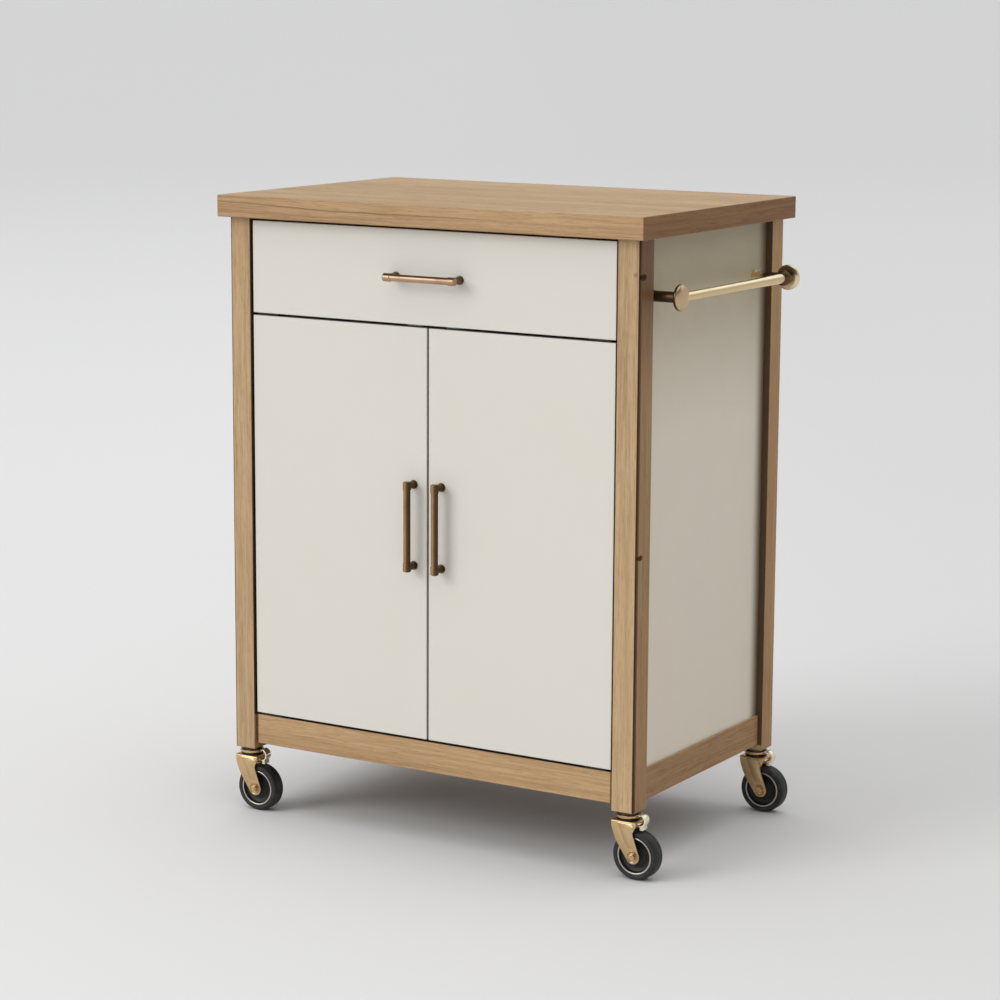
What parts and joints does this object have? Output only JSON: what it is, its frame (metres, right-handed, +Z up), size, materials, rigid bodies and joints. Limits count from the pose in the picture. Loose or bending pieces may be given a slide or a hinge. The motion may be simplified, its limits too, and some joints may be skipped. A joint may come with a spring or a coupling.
{
  "type": "kitchen cart",
  "caption": "Kitchen cart on swivel casters: oak frame and worktop, a drawer over a two-door cabinet with a shelf, and a towel bar on one side.",
  "frame": {"origin": "on the floor, at the centre of the overall footprint", "axes": "+Z up, +X to the right of someone facing the doors, and the doors and drawer face -Y"},
  "size_m": [0.733, 0.4658, 0.905],
  "materials": {
    "oak": "oiled",
    "painted_board": "satin paint",
    "inner_board": "satin paint",
    "birch": "clear lacquer",
    "bronze": "aged",
    "brass": "satin",
    "steel": "zinc plated",
    "plastic": "matte",
    "wheel_core": "matte",
    "tyre": "matte"
  },
  "bodies": {
    "cart": {"back_panel": "painted_board", "cabinet_floor": "inner_board", "caster_ball_races": "steel", "caster_stems": "brass", "divider_panel": "inner_board", "door_catches": "plastic", "door_pivot_plates": "steel", "drawer_runners": "steel", "post_front_left": "oak", "post_front_right": "oak", "post_rear_left": "oak", "post_rear_right": "oak", "rail_bottom_front": "oak", "rail_bottom_left": "oak", "rail_bottom_rear": "oak", "rail_bottom_right": "oak", "shelf": "inner_board", "shelf_pins": "steel", "side_panel_left": "painted_board", "side_panel_right": "painted_board", "top_stretchers": "birch", "towel_bar": "brass", "towel_bar_knobs": "brass", "towel_bar_standoffs": "brass", "worktop": "oak"},
    "drawer": {"drawer_front": "painted_board", "drawer_side_left": "birch", "drawer_side_right": "birch", "drawer_back": "birch", "drawer_bottom": "birch", "drawer_slides": "steel", "drawer_pull": "bronze"},
    "door_left": {"door_left": "painted_board", "door_left_pull": "bronze", "door_left_bushes": "plastic", "door_left_strike": "steel"},
    "door_right": {"door_right": "painted_board", "door_right_pull": "bronze", "door_right_bushes": "plastic", "door_right_strike": "steel"},
    "caster_front_left": {"caster_front_left_fork": "brass", "caster_front_left_axle": "brass"},
    "wheel_front_left": {"caster_front_left_core": "wheel_core", "caster_front_left_tyre": "tyre"},
    "brake_front_left": {"caster_front_left_brake": "brass"},
    "caster_front_right": {"caster_front_right_fork": "brass", "caster_front_right_axle": "brass"},
    "wheel_front_right": {"caster_front_right_core": "wheel_core", "caster_front_right_tyre": "tyre"},
    "brake_front_right": {"caster_front_right_brake": "brass"},
    "caster_rear_left": {"caster_rear_left_fork": "brass", "caster_rear_left_axle": "brass"},
    "wheel_rear_left": {"caster_rear_left_core": "wheel_core", "caster_rear_left_tyre": "tyre"},
    "brake_rear_left": {"caster_rear_left_brake": "brass"},
    "caster_rear_right": {"caster_rear_right_fork": "brass", "caster_rear_right_axle": "brass"},
    "wheel_rear_right": {"caster_rear_right_core": "wheel_core", "caster_rear_right_tyre": "tyre"},
    "brake_rear_right": {"caster_rear_right_brake": "brass"}
  },
  "joints": [
    {"name": "drawer_slide", "type": "slide", "parent": "cart", "child": "drawer", "axis": [0, -1, 0], "range_m": [0, 0.27]},
    {"name": "door_left_hinge", "type": "hinge", "parent": "cart", "child": "door_left", "pos_m": [-0.2925, -0.1961, 0.151], "axis": [0, 0, -1], "range_deg": [0, 105]},
    {"name": "door_right_hinge", "type": "hinge", "parent": "cart", "child": "door_right", "pos_m": [0.2495, -0.1961, 0.151], "axis": [0, 0, 1], "range_deg": [0, 105]},
    {"name": "caster_front_left_swivel", "type": "hinge", "parent": "cart", "child": "caster_front_left", "pos_m": [-0.338, -0.1901, 0.0827], "axis": [0, 0, 1], "continuous": true},
    {"name": "caster_front_right_swivel", "type": "hinge", "parent": "cart", "child": "caster_front_right", "pos_m": [0.295, -0.1901, 0.0827], "axis": [0, 0, 1], "continuous": true},
    {"name": "caster_rear_left_swivel", "type": "hinge", "parent": "cart", "child": "caster_rear_left", "pos_m": [-0.338, 0.1999, 0.0827], "axis": [0, 0, 1], "continuous": true},
    {"name": "caster_rear_right_swivel", "type": "hinge", "parent": "cart", "child": "caster_rear_right", "pos_m": [0.295, 0.1999, 0.0827], "axis": [0, 0, 1], "continuous": true},
    {"name": "wheel_front_left_spin", "type": "hinge", "parent": "caster_front_left", "child": "wheel_front_left", "pos_m": [-0.323, -0.1901, 0.034], "axis": [0, 1, 0], "continuous": true},
    {"name": "wheel_front_right_spin", "type": "hinge", "parent": "caster_front_right", "child": "wheel_front_right", "pos_m": [0.31, -0.1901, 0.034], "axis": [0, 1, 0], "continuous": true},
    {"name": "wheel_rear_left_spin", "type": "hinge", "parent": "caster_rear_left", "child": "wheel_rear_left", "pos_m": [-0.323, 0.1999, 0.034], "axis": [0, 1, 0], "continuous": true},
    {"name": "wheel_rear_right_spin", "type": "hinge", "parent": "caster_rear_right", "child": "wheel_rear_right", "pos_m": [0.31, 0.1999, 0.034], "axis": [0, 1, 0], "continuous": true},
    {"name": "brake_front_left_lever", "type": "hinge", "parent": "caster_front_left", "child": "brake_front_left", "pos_m": [-0.324, -0.1901, 0.0755], "axis": [0, 1, 0], "range_deg": [0, 16]},
    {"name": "brake_front_right_lever", "type": "hinge", "parent": "caster_front_right", "child": "brake_front_right", "pos_m": [0.309, -0.1901, 0.0755], "axis": [0, 1, 0], "range_deg": [0, 16]},
    {"name": "brake_rear_left_lever", "type": "hinge", "parent": "caster_rear_left", "child": "brake_rear_left", "pos_m": [-0.324, 0.1999, 0.0755], "axis": [0, 1, 0], "range_deg": [0, 16]},
    {"name": "brake_rear_right_lever", "type": "hinge", "parent": "caster_rear_right", "child": "brake_rear_right", "pos_m": [0.309, 0.1999, 0.0755], "axis": [0, 1, 0], "range_deg": [0, 16]}
  ]
}
